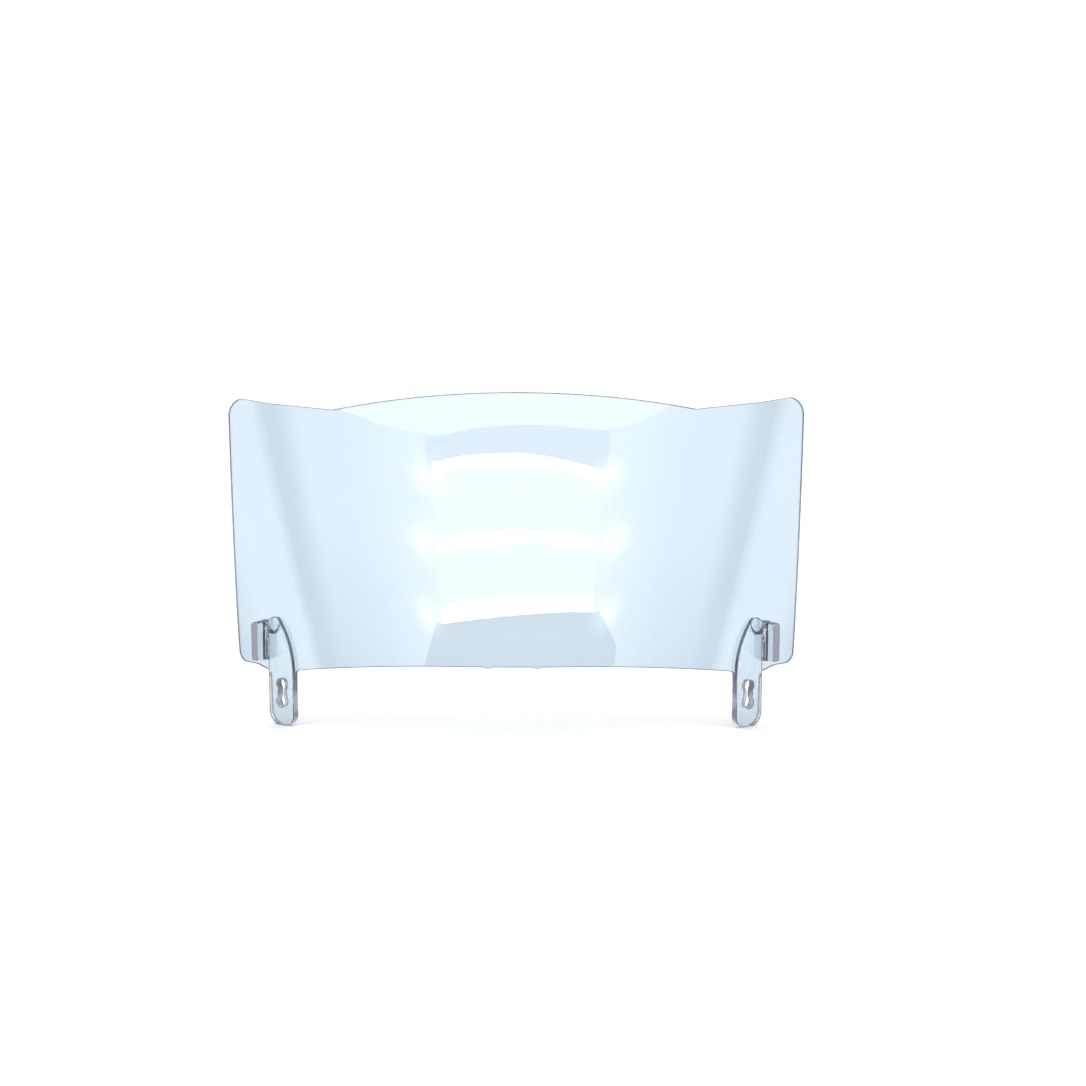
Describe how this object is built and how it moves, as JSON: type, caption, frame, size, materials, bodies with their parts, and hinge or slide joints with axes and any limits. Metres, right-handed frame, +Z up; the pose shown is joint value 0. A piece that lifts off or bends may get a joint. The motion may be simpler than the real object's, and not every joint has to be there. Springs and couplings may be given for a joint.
{
  "type": "windshield screen",
  "caption": "Clear curved motorcycle windshield screen with an arched top edge and two bonded, drilled mounting legs.",
  "frame": {"origin": "bottom centre of the bounding box, level with the ends of the legs", "axes": "+X across the screen to its right-hand end, seen from in front; -Y out of the convex front; +Z up"},
  "size_m": [0.3646, 0.0758, 0.204],
  "materials": {
    "clear_sheet": "gloss",
    "clear_lug": "gloss",
    "cement": "gloss"
  },
  "bodies": {
    "root": {"screen_sheet": "clear_sheet", "left_lug": "clear_lug", "right_lug": "clear_lug", "left_cement_film": "cement", "right_cement_film": "cement"}
  },
  "joints": []
}
